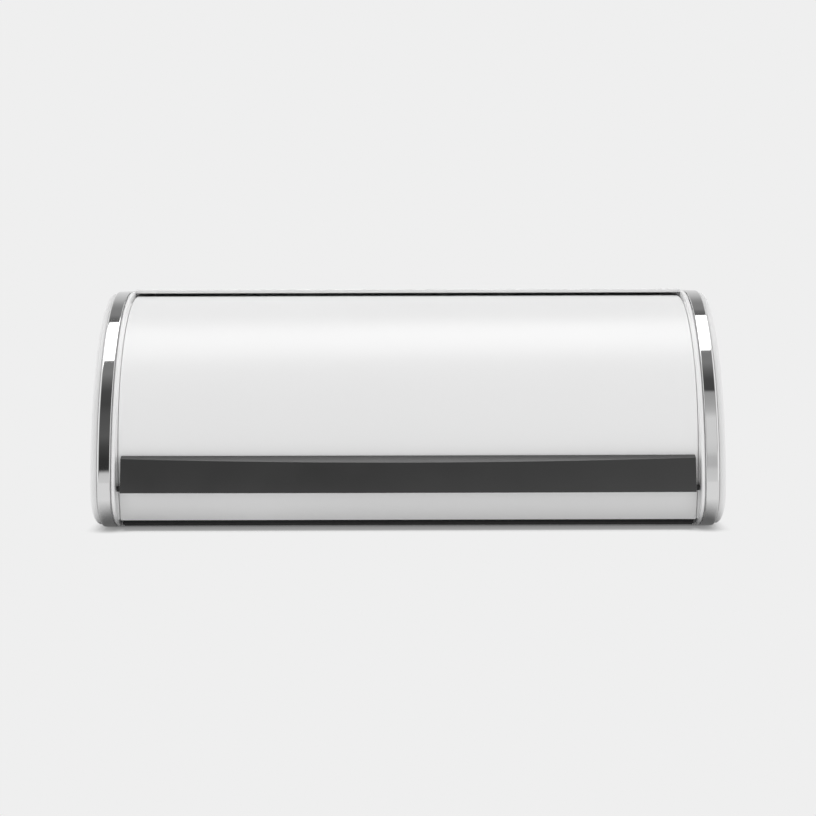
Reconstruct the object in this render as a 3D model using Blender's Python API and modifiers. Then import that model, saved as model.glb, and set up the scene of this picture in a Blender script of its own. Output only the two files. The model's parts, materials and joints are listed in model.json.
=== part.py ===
"""Roll-top bread box: a bent steel case between two D-shaped ends, and a curved lid that rolls up inside it.

Metres, +Z up. X runs along the box, the front faces -Y, and the origin is under the middle of the box.
The lid turns about an axis along X. Across the box, (y, z) outlines take y from that axis. The case's
outlines take z from the ground, and the lid's take it from the axis.
"""

from math import copysign, cos, pi, radians, sin

import bmesh
import bpy
from mathutils import Vector

GAP = 0.0003  # between pieces that touch

# Overall
HANDLE_REACH = 0.1321  # from the lid's axis forward to the grip
BACK_REACH = 0.1223  # from the lid's axis back to the case
AXIS_Y = (HANDLE_REACH - BACK_REACH) / 2
AXIS_Z = 0.0537
OUTER_FACE = 0.2330  # half the length over the covers

# Outline of both ends
END_TOP = 0.1766
END_BOTTOM = 0.0012
FRONT_REACH = 0.1264
FRONT_MIDDLE = 0.0310  # height where the front stands furthest out
FRONT_POWER = 1.93  # 2 would be an ellipse, and less is flatter
TOE_LENGTH = 0.042
HEEL_RADIUS = 0.010
SHOULDER_RADIUS = 0.014

# Where the layers of an end lie, from the middle of the box
LAND_IN = 0.2128
PLATE_IN = 0.2140
PLATE_OUT = 0.2168
TRIM_OUT = 0.2270
SEAT_OUT = 0.2262
BOSS_OUT = 0.2225
COVER_IN = 0.2273
TRIM_THICK = 0.0012
SEAT_INSET = TRIM_THICK + GAP
SEAT_THICK = 0.0020
LAND_INNER = 0.1108  # radii from the lid's axis, beside the lid's edge
LAND_OUTER = 0.1188

# Case sheet
SHELL_THICK = 0.0008
SHELL_INSET = 0.0010
SHELL_END = 0.2133
SHELL_FLANGE = 0.0080
SHELL_LIP = 256.0  # where the sheet ends on the toe, in degrees round it
HEM_FRONT = -0.005
HEM_BACK = 0.003
HEM_LOW = 0.1750
HEM_HIGH = 0.1780
RIB_COUNT = 7
RIB_PITCH = 0.022
RIB_HALF_LENGTH = 0.190
RIB_HALF_WIDTH = 0.0045
RIB_TOP = 0.0044
CASE_SCREW_INSET = 0.0066
CASE_SCREW_SPOTS = {
    "top": (0.090, END_TOP - CASE_SCREW_INSET),
    "rear": (0.100, END_BOTTOM + CASE_SCREW_INSET),
    "front": (-0.060, END_BOTTOM + CASE_SCREW_INSET),
}
CASE_SCREW_HOLE = 0.00175

SILL_HALF = 0.2114
SILL_ANGLES = (240.0, 255.6)
SILL_INSETS = (0.0006, 0.0030)

# Lid: angles are in degrees up from straight ahead
LID_THICK = 0.0007
LID_RADIUS = 0.1190
LID_LOW = -22.3
LID_HIGH = 93.5
LID_HALF = 0.2124
LID_BEND = 0.0005
LID_FLANGE_RADIUS = 0.1040
LID_STEPS = 28

ARM_IN = 0.2102
ARM_OUT = 0.2114
ARM_RADIUS = 0.1173
ARM_LOW = -17.0
ARM_HIGH = 91.0
ARM_WINDOWS = ((-8.0, 34.0), (42.0, 82.0))
WINDOW_INNER = 0.028
WINDOW_OUTER = 0.099
HUB_RADIUS = 0.012
RIVET_RADIUS = 0.1075
RIVET_ANGLES = (0.0, 38.0, 76.0)
RIVET_HOLE = 0.0017

PIN_RADIUS = 0.0036
BUSH_BORE = PIN_RADIUS + GAP
BUSH_RADIUS = 0.0046
HUB_BORE = BUSH_RADIUS + GAP
BUFFER_RADIUS = 0.0040
BUFFER_FROM_AXIS = 0.095
BUFFER_ANGLES = {"closing": -21.1, "opening": 179.1}

# Handle
GRIP_HALF = 0.2100
GRIP_BOW = 0.0020
GRIP_SECTIONS = 14
RAIL_HALF = 0.2060
RAIL_LOW = -10.3
RAIL_HIGH = -4.3
RAIL_RADIUS = 0.1215
LIP_HALF = 0.2136
LIP_HIGH = -9.1
LIP_RADIUS = 0.1225
HANDLE_SCREW_ANGLE = -6.8
HANDLE_SCREW_PITCH = 0.090
HANDLE_SCREW_COUNT = 5
HANDLE_SCREW_HOLE = 0.0019

# Feet
FOOT_RADIUS = 0.009
FOOT_HEIGHT = 0.0015
FOOT_X = 0.186
FOOT_Y = {"front": -0.062, "rear": 0.100}

SIDES = {"left": -1, "right": 1}
ACROSS = (pi / 2, 0, pi / 2)  # turns a flat outline's X and Y to world Y and Z


def clear_scene():
    for obj in list(bpy.data.objects):
        bpy.data.objects.remove(obj)


def new_collection(name):
    collection = bpy.data.collections.new(name)
    bpy.context.scene.collection.children.link(collection)
    return collection


def new_material(name, colour, roughness, metallic):
    material = bpy.data.materials.new(name)
    material.use_nodes = True
    shader = material.node_tree.nodes["Principled BSDF"]
    shader.inputs["Base Color"].default_value = (*colour, 1)
    shader.inputs["Roughness"].default_value = roughness
    shader.inputs["Metallic"].default_value = metallic
    return material


def new_empty(name, location):
    empty = bpy.data.objects.new(name, None)
    empty.location = location
    parts.objects.link(empty)
    return empty


def new_object(name, mesh, parent, look=None):
    """A mesh object under one of the two empties; without a look it is a cutter or a joined-on piece."""
    obj = bpy.data.objects.new(name, mesh)
    obj.parent = parent
    if look is None:
        cutters.objects.link(obj)
        obj.hide_render = True
        obj.display_type = "WIRE"
        return obj
    parts.objects.link(obj)
    colour, roughness, metallic = look
    mesh.materials.append(new_material(name, colour, roughness, metallic))
    return obj


def shade(mesh, degrees=35):
    mesh.shade_smooth()
    mesh.set_sharp_from_angle(angle=radians(degrees))


def signed_power(value, power):
    return copysign(abs(value) ** power, value)


def arc(centre, radii, start, end, steps, inset=0.0, power=2.0):
    """Points on an elliptical arc from start to end degrees, moved in along its normal by inset.

    A power under 2 makes it flatter between its quarter points.
    """
    points = []
    for step in range(steps + 1):
        angle = radians(start + (end - start) * step / steps)
        spokes = (cos(angle), sin(angle))
        on_arc = [signed_power(s, 2 / power) * r for s, r in zip(spokes, radii)]
        normal = [signed_power(s, 2 - 2 / power) / r for s, r in zip(spokes, radii)]
        points.append(Vector(centre) + Vector(on_arc) - inset * Vector(normal).normalized())
    return points


def circle(centre, radius, steps=24):
    return arc(centre, (radius, radius), 0, 360, steps)[:-1]


def ahead(angle, radius):
    """The (y, z) point at a radius from the lid's axis, at an angle up from straight ahead."""
    return Vector((-radius * cos(radians(angle)), radius * sin(radians(angle))))


def lid_arc(low, high, radius, step=6.0):
    steps = max(1, round(abs(high - low) / step))
    return [ahead(low + (high - low) * i / steps, radius) for i in range(steps + 1)]


def front(start, steps, inset):
    """The front of an end, from start degrees at its top to where it stands furthest out."""
    radii = (FRONT_REACH, END_TOP - FRONT_MIDDLE)
    return arc((0, FRONT_MIDDLE), radii, start, 180, steps, inset, FRONT_POWER)


def toe(start, end, steps, inset):
    """The low front corner of an end, which runs from 180 degrees to the flat bottom at 270."""
    centre = (TOE_LENGTH - FRONT_REACH, FRONT_MIDDLE)
    return arc(centre, (TOE_LENGTH, FRONT_MIDDLE - END_BOTTOM), start, end, steps, inset)


def heel_and_shoulder(inset):
    """The two back corners of an end, bottom one first."""
    low = (BACK_REACH - HEEL_RADIUS, END_BOTTOM + HEEL_RADIUS)
    high = (BACK_REACH - SHOULDER_RADIUS, END_TOP - SHOULDER_RADIUS)
    heel = arc(low, (HEEL_RADIUS, HEEL_RADIUS), 270, 360, 5, inset)
    return heel + arc(high, (SHOULDER_RADIUS, SHOULDER_RADIUS), 0, 90, 5, inset)


def end_outline(inset=0.0):
    """The D-shaped outline that both ends share, moved in by inset."""
    return front(90, 18, inset) + toe(180, 270, 8, inset)[1:] + heel_and_shoulder(inset)


def slab(name, loops, low, high, parent, look=None):
    """A plate from low to high along X. The first loop goes round it, and the others are its holes."""
    curve = bpy.data.curves.new(name, "CURVE")
    curve.dimensions = "2D"
    curve.fill_mode = "BOTH"
    curve.extrude = (high - low) / 2
    for loop in loops:
        spline = curve.splines.new("POLY")
        spline.points.add(len(loop) - 1)
        for point, (y, z) in zip(spline.points, loop):
            point.co = (y, z, 0, 1)
        spline.use_cyclic_u = True
    outline = bpy.data.objects.new(name + "_outline", curve)
    cutters.objects.link(outline)
    evaluated = outline.evaluated_get(bpy.context.evaluated_depsgraph_get())
    mesh = bpy.data.meshes.new_from_object(evaluated)
    bpy.data.objects.remove(outline)
    bm = bmesh.new()
    bm.from_mesh(mesh)
    bmesh.ops.remove_doubles(bm, verts=bm.verts, dist=1e-6)
    bmesh.ops.recalc_face_normals(bm, faces=bm.faces)
    bm.to_mesh(mesh)
    bm.free()
    shade(mesh)
    obj = new_object(name, mesh, parent, look)
    obj.rotation_euler = ACROSS
    obj.location.x = (low + high) / 2
    return obj


def side_slab(name, loops, side, near, far, parent, look=None):
    """A slab on one side of the box, from near to far out from its middle."""
    low, high = sorted((side * near, side * far))
    return slab(name, loops, low, high, parent, look)


def loft(name, sections, parent, look):
    """A solid skinned over closed sections, with a flat cap on the first and the last."""
    bm = bmesh.new()
    rings = [[bm.verts.new(point) for point in section] for section in sections]
    for ring, following in zip(rings, rings[1:]):
        for i, vert in enumerate(ring):
            j = (i + 1) % len(ring)
            bm.faces.new((vert, ring[j], following[j], following[i]))
    bm.faces.new(rings[0])
    bm.faces.new(rings[-1])
    bmesh.ops.recalc_face_normals(bm, faces=bm.faces)
    mesh = bpy.data.meshes.new(name)
    bm.to_mesh(mesh)
    bm.free()
    shade(mesh)
    return new_object(name, mesh, parent, look)


def add_screw(obj, axis, angle, steps):
    turn = obj.modifiers.new("turn", "SCREW")
    turn.axis = axis
    turn.angle = radians(angle)
    turn.steps = steps
    turn.render_steps = steps
    turn.use_merge_vertices = True
    turn.merge_threshold = 0.00001
    turn.use_smooth_shade = True


def line_mesh(name, points, closed=False):
    edges = [(i, i + 1) for i in range(len(points) - 1)]
    if closed:
        edges.append((len(points) - 1, 0))
    mesh = bpy.data.meshes.new(name)
    mesh.from_pydata(points, edges, [])
    return mesh


def turned(name, profile, parent, look=None, steps=20, closed=False):
    """A turned piece on its own Z axis. The (radius, height) profile runs down its outer side."""
    mesh = line_mesh(name, [(radius, 0, height) for radius, height in profile], closed)
    obj = new_object(name, mesh, parent, look)
    add_screw(obj, "Z", 360, steps)
    return obj


def solid_of_steps(*steps):
    """The profile of a solid turned piece from (radius, low, high) steps listed from the top down."""
    profile = [(0, steps[0][2])]
    for radius, low, high in steps:
        profile += [(radius, high), (radius, low)]
    return profile + [(0, steps[-1][1])]


def ring_profile(bore, radius, low, high):
    return [(bore, high), (radius, high), (radius, low), (bore, low)]


def point_sideways(obj, side, y=0.0, z=0.0):
    """Turns a piece's own Z outwards, so that its heights are distances from the middle of the box."""
    obj.rotation_euler = (0, side * pi / 2, 0)
    obj.location = (0, y, z)


def point_outwards(obj, angle, x):
    """Turns a piece's own Z away from the lid's axis, so that its heights are radii of the lid."""
    obj.rotation_euler = (pi / 2 - radians(angle), 0, 0)
    obj.location = (x, 0, 0)


def combine(target, other, operation):
    boolean = target.modifiers.new(operation.lower(), "BOOLEAN")
    boolean.operation = operation
    boolean.solver = "EXACT"
    boolean.object = other


def block(name, low, high, parent, bevel=0.0):
    """A box between two corners that is joined to another piece, with rounded edges."""
    bm = bmesh.new()
    bmesh.ops.create_cube(bm, size=1)
    size = Vector(high) - Vector(low)
    bmesh.ops.scale(bm, vec=size, verts=bm.verts)
    bmesh.ops.translate(bm, vec=(Vector(high) + Vector(low)) / 2, verts=bm.verts)
    mesh = bpy.data.meshes.new(name)
    bm.to_mesh(mesh)
    bm.free()
    obj = new_object(name, mesh, parent)
    if bevel:
        rounding = obj.modifiers.new("bevel", "BEVEL")
        rounding.width = bevel
        rounding.segments = 2
    return obj


# Looks: colour, roughness, metallic
WHITE_ENAMEL = ((0.80, 0.80, 0.79), 0.32, 0.0)
WHITE_PLASTIC = ((0.78, 0.78, 0.77), 0.38, 0.0)
CHROME = ((0.72, 0.72, 0.73), 0.08, 1.0)
PLAIN_STEEL = ((0.55, 0.55, 0.56), 0.35, 1.0)
DARK_PLASTIC = ((0.040, 0.040, 0.041), 0.42, 0.0)
BLACK_PLASTIC = ((0.010, 0.010, 0.010), 0.45, 0.0)
PALE_NYLON = ((0.62, 0.62, 0.58), 0.45, 0.0)
RUBBER = ((0.020, 0.020, 0.020), 0.80, 0.0)


def shell_surface(chain, flange):
    """The middle of the case's bent sheet: its skin between the ends, and a flange turned in at each."""
    bm = bmesh.new()
    rows = []
    for x, outline in (
        (-SHELL_END, flange),
        (-SHELL_END, chain),
        (SHELL_END, chain),
        (SHELL_END, flange),
    ):
        rows.append([bm.verts.new((x, y, z)) for y, z in outline])
    for row, following in zip(rows, rows[1:]):
        for i in range(len(row) - 1):
            bm.faces.new((row[i], row[i + 1], following[i + 1], following[i]))
    mesh = bpy.data.meshes.new("wrap_shell")
    bm.to_mesh(mesh)
    bm.free()
    return mesh


def shell_chain(inset):
    """The case's outline from its front lip, under and behind, to the edge above the lid."""
    top_edge = Vector((HEM_FRONT, END_TOP - inset))
    return toe(SHELL_LIP, 270, 3, inset) + heel_and_shoulder(inset) + [top_edge]


def make_wrap_shell():
    """Base, back and flat top in one sheet, with a hem over the lid and stiffening ribs in the base."""
    flange = shell_chain(SHELL_INSET + SHELL_FLANGE)
    mesh = shell_surface(shell_chain(SHELL_INSET), flange)
    shell = new_object("wrap_shell", mesh, case, WHITE_ENAMEL)
    thicken = shell.modifiers.new("thickness", "SOLIDIFY")
    thicken.thickness = SHELL_THICK
    thicken.offset = 0
    thicken.use_even_offset = True

    hem_end = SHELL_END
    hem_low = (-hem_end, HEM_FRONT, HEM_LOW)
    hem_high = (hem_end, HEM_BACK, HEM_HIGH)
    combine(shell, block("hem_bar", hem_low, hem_high, case, bevel=0.0007), "UNION")

    floor = END_BOTTOM + SHELL_INSET
    first = -RIB_PITCH * (RIB_COUNT - 1) / 2
    for number in range(RIB_COUNT):
        middle = (first + number * RIB_PITCH, floor)
        bump = arc(middle, (RIB_HALF_WIDTH, RIB_TOP - floor), 0, 180, 6)
        rib = slab(f"rib_{number + 1}", [bump], -RIB_HALF_LENGTH, RIB_HALF_LENGTH, case)
        combine(shell, rib, "UNION")

    for spot, (y, z) in CASE_SCREW_SPOTS.items():
        drill = [circle((y, z), CASE_SCREW_HOLE, 12)]
        through = slab(f"case_drill_{spot}", drill, -OUTER_FACE, OUTER_FACE, case)
        combine(shell, through, "DIFFERENCE")


def make_side_frame(word, side):
    """The inner wall of an end, with the trim's seat, the pin's boss and a land beside the lid."""
    holes = [circle((0, AXIS_Z), BUSH_BORE, 20)]
    holes += [circle(spot, CASE_SCREW_HOLE, 12) for spot in CASE_SCREW_SPOTS.values()]
    outline = end_outline(0.0004)
    plate = [outline] + holes
    name = f"side_frame_{word}"
    frame = side_slab(name, plate, side, PLATE_IN, PLATE_OUT, case, WHITE_PLASTIC)
    overlap = PLATE_OUT - 0.0002
    rim = [end_outline(SEAT_INSET), end_outline(SEAT_INSET + SEAT_THICK)]
    seat = side_slab(f"seat_{word}", rim, side, overlap, SEAT_OUT, case)
    combine(frame, seat, "UNION")
    wall = [circle((0, AXIS_Z), 0.008), circle((0, AXIS_Z), 0.0042)]
    boss = side_slab(f"boss_{word}", wall, side, overlap, BOSS_OUT, case)
    combine(frame, boss, "UNION")
    rim_side = front(93, 18, 0.0008) + toe(180, 230, 5, 0.0008)[1:]
    axis = Vector((0, AXIS_Z))
    lid_side = [axis + (p - axis) * min(1, LAND_OUTER / (p - axis).length) for p in rim_side]
    inner_side = [axis + point for point in lid_arc(-21.5, 86.6, LAND_INNER)]
    crescent = [lid_side + inner_side]
    land = side_slab(f"land_{word}", crescent, side, LAND_IN, PLATE_IN + 0.0005, case)
    combine(frame, land, "UNION")


def make_front_sill():
    """The dark strip along the base's front edge, which shows as a band under the lid."""
    near, far = SILL_INSETS
    start, end = SILL_ANGLES
    section = toe(start, end, 5, near) + toe(end, start, 5, far)
    slab("front_sill", [section], -SILL_HALF, SILL_HALF, case, RUBBER)


def make_trim_ring(word, side):
    loops = [end_outline(), end_outline(TRIM_THICK)]
    name = f"trim_ring_{word}"
    side_slab(name, loops, side, PLATE_OUT + GAP, TRIM_OUT, case, CHROME)


def make_side_cover(word, side):
    """A hollow moulding with a rounded edge, open towards the end's frame."""
    profile = (
        (0.2312, 0.0085),
        (0.2298, 0.0040),
        (COVER_IN, 0.0038),
        (COVER_IN, 0.0018),
        (0.2296, 0.0018),
        (0.2314, 0.0025),
        (0.2325, 0.0042),
        (OUTER_FACE, 0.0068),
    )
    sections = []
    for x, inset in profile:
        sections.append([(side * x, y, z) for y, z in end_outline(inset)])
    loft(f"side_cover_{word}", sections, case, WHITE_PLASTIC)


def make_pivot(word, side):
    """Headed pin, thrust washer and retaining ring on the case, and the bush in the lid's arm."""
    head_in = ARM_IN - 0.0028
    head_out = head_in + 0.0015
    steps = ((PIN_RADIUS, head_out, 0.2250), (0.0065, head_in, head_out))
    pin = turned(f"pivot_pin_{word}", solid_of_steps(*steps), case, PLAIN_STEEL)
    point_sideways(pin, side, z=AXIS_Z)

    washer_profile = ring_profile(HUB_BORE, 0.0085, ARM_OUT + GAP, PLATE_IN - GAP)
    washer = turned(f"pivot_washer_{word}", washer_profile, case, PALE_NYLON, closed=True)
    point_sideways(washer, side, z=AXIS_Z)

    clip_profile = ring_profile(BUSH_BORE, 0.0065, BOSS_OUT + GAP, BOSS_OUT + 0.0013)
    clip = turned(f"pivot_clip_{word}", clip_profile, case, PLAIN_STEEL, closed=True)
    point_sideways(clip, side, z=AXIS_Z)

    flange_in = head_out + GAP
    bush_profile = [
        (BUSH_BORE, LID_HALF),
        (BUSH_RADIUS, LID_HALF),
        (BUSH_RADIUS, ARM_IN - GAP),
        (0.0070, ARM_IN - GAP),
        (0.0070, flange_in),
        (BUSH_BORE, flange_in),
    ]
    bush = turned(f"pivot_bush_{word}", bush_profile, lid, PALE_NYLON, closed=True)
    point_sideways(bush, side)


def make_buffers(word, side):
    """Rubber stops on the frame: the lid's arm meets one when shut and the other when open."""
    for role, angle in BUFFER_ANGLES.items():
        y, z = ahead(angle, BUFFER_FROM_AXIS)
        steps = [(BUFFER_RADIUS, 0.2094, PLATE_IN - GAP)]
        buffer = turned(f"{role}_buffer_{word}", solid_of_steps(*steps), case, RUBBER, 16)
        point_sideways(buffer, side, y, AXIS_Z + z)


def make_case_screws(word, side):
    head = (0.0028, PLATE_OUT + GAP, PLATE_OUT + 0.0021)
    shank = (0.0014, 0.2120, PLATE_OUT + GAP)
    for spot, (y, z) in CASE_SCREW_SPOTS.items():
        name = f"case_screw_{spot}_{word}"
        screw = turned(name, solid_of_steps(head, shank), case, PLAIN_STEEL, 12)
        point_sideways(screw, side, y, z)


def make_feet(word, side):
    chamfer = 0.0004
    profile = [
        (0, FOOT_HEIGHT),
        (FOOT_RADIUS, FOOT_HEIGHT),
        (FOOT_RADIUS, chamfer),
        (FOOT_RADIUS - chamfer, 0),
        (0, 0),
    ]
    for place, y in FOOT_Y.items():
        foot = turned(f"foot_{place}_{word}", profile, case, RUBBER, 24)
        foot.location = (side * FOOT_X, y, 0)


def make_lid_panel():
    """The curved sheet, swept about the lid's axis, with a flange turned in at each end."""
    radius = LID_RADIUS - LID_THICK / 2
    end = LID_HALF - LID_THICK / 2
    bend = arc((end - LID_BEND, radius - LID_BEND), (LID_BEND, LID_BEND), 0, 90, 3)
    right = [Vector((end, LID_FLANGE_RADIUS))] + bend
    left = [Vector((-x, r)) for x, r in reversed(right)]
    mesh = line_mesh("lid_panel", [(x, 0, r) for x, r in right + left])
    panel = new_object("lid_panel", mesh, lid, WHITE_ENAMEL)
    add_screw(panel, "X", LID_HIGH - LID_LOW, LID_STEPS)
    panel.rotation_euler.x = radians(90 - LID_HIGH)
    thicken = panel.modifiers.new("thickness", "SOLIDIFY")
    thicken.thickness = LID_THICK
    thicken.offset = 0
    thicken.use_even_offset = True
    for number, angle in enumerate(RIVET_ANGLES, 1):
        drill = [circle(ahead(angle, RIVET_RADIUS), RIVET_HOLE, 12)]
        through = slab(f"rivet_drill_{number}", drill, -OUTER_FACE, OUTER_FACE, lid)
        combine(panel, through, "DIFFERENCE")
    return panel


def make_arm(word, side):
    """A stamped sector that carries the lid's end flange and turns on the pivot bush."""
    back_of_hub = lid_arc(ARM_HIGH + 90, ARM_LOW + 270, HUB_RADIUS, 12)
    loops = [lid_arc(ARM_LOW, ARM_HIGH, ARM_RADIUS) + back_of_hub]
    for low, high in ARM_WINDOWS:
        outer = lid_arc(low, high, WINDOW_OUTER)
        loops.append(outer + lid_arc(high, low, WINDOW_INNER, 12))
    loops.append(circle((0, 0), HUB_BORE, 20))
    loops += [circle(ahead(angle, RIVET_RADIUS), RIVET_HOLE, 12) for angle in RIVET_ANGLES]
    side_slab(f"lid_arm_{word}", loops, side, ARM_IN, ARM_OUT, lid, PLAIN_STEEL)


def make_rivets(word, side):
    inner = (0.0025, ARM_IN - 0.0013, ARM_IN - GAP)
    shank = (0.0014, ARM_IN - GAP, LID_HALF + GAP)
    outer = (0.0025, LID_HALF + GAP, LID_HALF + 0.0008)
    for number, angle in enumerate(RIVET_ANGLES, 1):
        name = f"lid_rivet_{number}_{word}"
        rivet = turned(name, solid_of_steps(outer, shank, inner), lid, PLAIN_STEEL, 12)
        point_sideways(rivet, side, *ahead(angle, RIVET_RADIUS))


def rail_section(low, high, radius):
    inner = lid_arc(low, high, LID_RADIUS + GAP, 2)
    return inner + lid_arc(high, low, radius, 2)


def make_handle_rail():
    """A moulded strip on the lid's face. Its lower lip runs on past the grip at both ends."""
    body = [rail_section(RAIL_LOW, RAIL_HIGH, RAIL_RADIUS)]
    rail = slab("handle_rail", body, -RAIL_HALF, RAIL_HALF, lid, BLACK_PLASTIC)
    lip = [rail_section(RAIL_LOW - 0.4, LIP_HIGH, LIP_RADIUS)]
    combine(rail, slab("rail_lip", lip, -LIP_HALF, LIP_HALF, lid), "UNION")
    return rail


def grip_section(x):
    """The grip's hooked section, which stands out further towards the middle of the handle."""
    bow = GRIP_BOW * (1 - (x / GRIP_HALF) ** 2)
    surface = LID_RADIUS + 0.0004
    points = [
        ahead(1.75, surface),
        (-0.1242 - bow, 0.0016 - 1.5 * bow),
        (-0.1301 - bow, -0.0230),
        (-0.1277 - bow, -0.0232),
        (-0.1238 - bow, -0.0084),
        (-0.1208, -0.0064),
        ahead(-3.0, surface),
        ahead(-0.6, surface),
    ]
    return [(x, y, z) for y, z in points]


def make_handle_grip():
    """The bowed grip: a wall standing off the rail with room for fingers behind its lower edge."""
    spacing = 2 * GRIP_HALF / GRIP_SECTIONS
    places = [spacing * i - GRIP_HALF for i in range(GRIP_SECTIONS + 1)]
    loft("handle_grip", [grip_section(x) for x in places], lid, DARK_PLASTIC)


def make_handle_screws(panel, rail):
    """Screws from inside the lid into the rail, with their holes through both."""
    under = LID_RADIUS - LID_THICK - GAP
    shank = (0.0015, under, RAIL_RADIUS - 0.0004)
    head = (0.0030, under - 0.0015, under)
    drill = (HANDLE_SCREW_HOLE, under - 0.004, RAIL_RADIUS + 0.004)
    first = -HANDLE_SCREW_PITCH * (HANDLE_SCREW_COUNT - 1) / 2
    for number in range(HANDLE_SCREW_COUNT):
        x = first + number * HANDLE_SCREW_PITCH
        name = f"handle_screw_{number + 1}"
        screw = turned(name, solid_of_steps(shank, head), lid, PLAIN_STEEL, 12)
        point_outwards(screw, HANDLE_SCREW_ANGLE, x)
        cutter = turned(f"handle_drill_{number + 1}", solid_of_steps(drill), lid, steps=12)
        point_outwards(cutter, HANDLE_SCREW_ANGLE, x)
        combine(panel, cutter, "DIFFERENCE")
        combine(rail, cutter, "DIFFERENCE")


clear_scene()
parts = new_collection("roll_top_bread_box")
cutters = new_collection("cutters")
case = new_empty("case_datum", (0, AXIS_Y, 0))
lid = new_empty("lid_axis", (0, AXIS_Y, AXIS_Z))

make_wrap_shell()
make_front_sill()
lid_sheet = make_lid_panel()
for side_word, side_sign in SIDES.items():
    make_side_frame(side_word, side_sign)
    make_trim_ring(side_word, side_sign)
    make_side_cover(side_word, side_sign)
    make_pivot(side_word, side_sign)
    make_buffers(side_word, side_sign)
    make_case_screws(side_word, side_sign)
    make_feet(side_word, side_sign)
    make_arm(side_word, side_sign)
    make_rivets(side_word, side_sign)
make_handle_grip()
make_handle_screws(lid_sheet, make_handle_rail())
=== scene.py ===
"""Looks of the roll-top bread box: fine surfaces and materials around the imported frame.

Metres, +Z up, the front faces -Y. Outlines across the box are (y, z) points in the row's frame.
"""

import json
from math import copysign, cos, pi, radians, sin, tan

import bmesh
import bpy
from mathutils import Matrix, Vector


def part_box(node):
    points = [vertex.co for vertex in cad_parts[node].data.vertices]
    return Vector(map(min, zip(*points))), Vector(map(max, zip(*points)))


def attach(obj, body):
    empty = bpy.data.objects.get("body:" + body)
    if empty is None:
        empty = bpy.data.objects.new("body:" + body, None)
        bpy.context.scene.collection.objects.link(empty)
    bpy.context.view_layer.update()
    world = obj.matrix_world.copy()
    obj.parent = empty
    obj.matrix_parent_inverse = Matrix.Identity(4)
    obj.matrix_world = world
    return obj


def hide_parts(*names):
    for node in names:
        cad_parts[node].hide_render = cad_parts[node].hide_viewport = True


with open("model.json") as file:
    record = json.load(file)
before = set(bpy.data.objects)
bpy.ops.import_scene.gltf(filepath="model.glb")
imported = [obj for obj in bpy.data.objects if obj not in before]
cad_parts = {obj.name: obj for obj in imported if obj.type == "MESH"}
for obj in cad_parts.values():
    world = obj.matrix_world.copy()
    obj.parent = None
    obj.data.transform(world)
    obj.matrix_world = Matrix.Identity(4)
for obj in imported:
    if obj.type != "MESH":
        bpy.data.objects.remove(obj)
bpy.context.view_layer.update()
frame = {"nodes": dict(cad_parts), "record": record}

MM = 0.001
SIDES = {"left": -1, "right": 1}
AXIS = Vector(frame["record"]["behaviour"]["joints"][0]["pos_m"])


# Sizes read from the frame

def span(node, axis):
    low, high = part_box(node)
    return low[axis], high[axis]


FRONT, BACK = span("trim_ring_right", 1)
BOTTOM, TOP = span("trim_ring_right", 2)
TRIM_IN, TRIM_OUT = span("trim_ring_right", 0)
LAND_IN, SEAT_OUT = span("side_frame_right", 0)
COVER_IN, COVER_OUT = span("side_cover_right", 0)
HEM_TOP = span("wrap_shell", 2)[1]
SHELL_HALF = span("wrap_shell", 0)[1]
SILL_HALF = span("front_sill", 0)[1]
LID_HALF = span("lid_panel", 0)[1]
LID_RADIUS = AXIS.y - span("lid_panel", 1)[0]
ARM_IN, ARM_OUT = span("lid_arm_right", 0)
GRIP_HALF = span("handle_grip", 0)[1]
LIP_HALF = span("handle_rail", 0)[1]

# Sizes that the frame's boxes don't give, as the solids have them
FRONT_MIDDLE = 31 * MM
FRONT_POWER = 1.93
TOE_LENGTH = 42 * MM
HEEL_RADIUS = 10 * MM
SHOULDER_RADIUS = 14 * MM
PLATE_IN = 214 * MM
LAND_RADII = (110.8 * MM, 118.8 * MM)
PLATE_THICK = 2.8 * MM
TRIM_THICK = 1.2 * MM
SHELL_THICK = 0.8 * MM
SHELL_INSET = 0.6 * MM
SHELL_LIP = 256
SILL_ANGLES = (240.0, 255.6)
SILL_INSETS = (0.6 * MM, 3.0 * MM)
LID_THICK = 0.7 * MM
LID_LOW, LID_HIGH = -22.3, 93.5
LID_FLANGE_RADIUS = 104 * MM
RIVET_RADIUS = 107.5 * MM
RIVET_ANGLES = (0.0, 38.0, 76.0)
HANDLE_SCREW_ANGLE = -6.8

# Sizes of the looks alone: the dark line beside each trim, and where the land beside the lid ends, in
# degrees round the lid's circle and as the same place on the end's own curve
TRIM_GAP = 0.35 * MM
LAND_TOP, LAND_TOP_ON_RIM = 74, 106


# Outlines

def signed_power(value, power):
    return copysign(abs(value) ** power, value)


def arc(centre, radii, start, end, steps, inset=0.0, power=2.0):
    """Points on an elliptical arc from start to end degrees, moved in along its normal by inset.

    A power under 2 makes it flatter between its quarter points.
    """
    points = []
    for step in range(steps + 1):
        angle = radians(start + (end - start) * step / steps)
        spokes = (cos(angle), sin(angle))
        on_arc = [signed_power(s, 2 / power) * r for s, r in zip(spokes, radii)]
        normal = [signed_power(s, 2 - 2 / power) / r for s, r in zip(spokes, radii)]
        points.append(Vector(centre) + Vector(on_arc) - inset * Vector(normal).normalized())
    return points


def circle(centre, radius, steps=40):
    return arc(centre, (radius, radius), 0, 360, steps)[:-1]


def between(start, end, steps=6):
    """Points inside a straight run, with one close to each end so that shading stays flat."""
    near = min(0.04, 1.0 / steps)
    shares = [near] + [i / steps for i in range(1, steps)] + [1 - near]
    return [start.lerp(end, share) for share in shares]


def ahead(angle, radius):
    """The (y, z) point at a radius from the lid's axis, angle degrees up from straight ahead."""
    return Vector((AXIS.y - radius * cos(radians(angle)), AXIS.z + radius * sin(radians(angle))))


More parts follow.
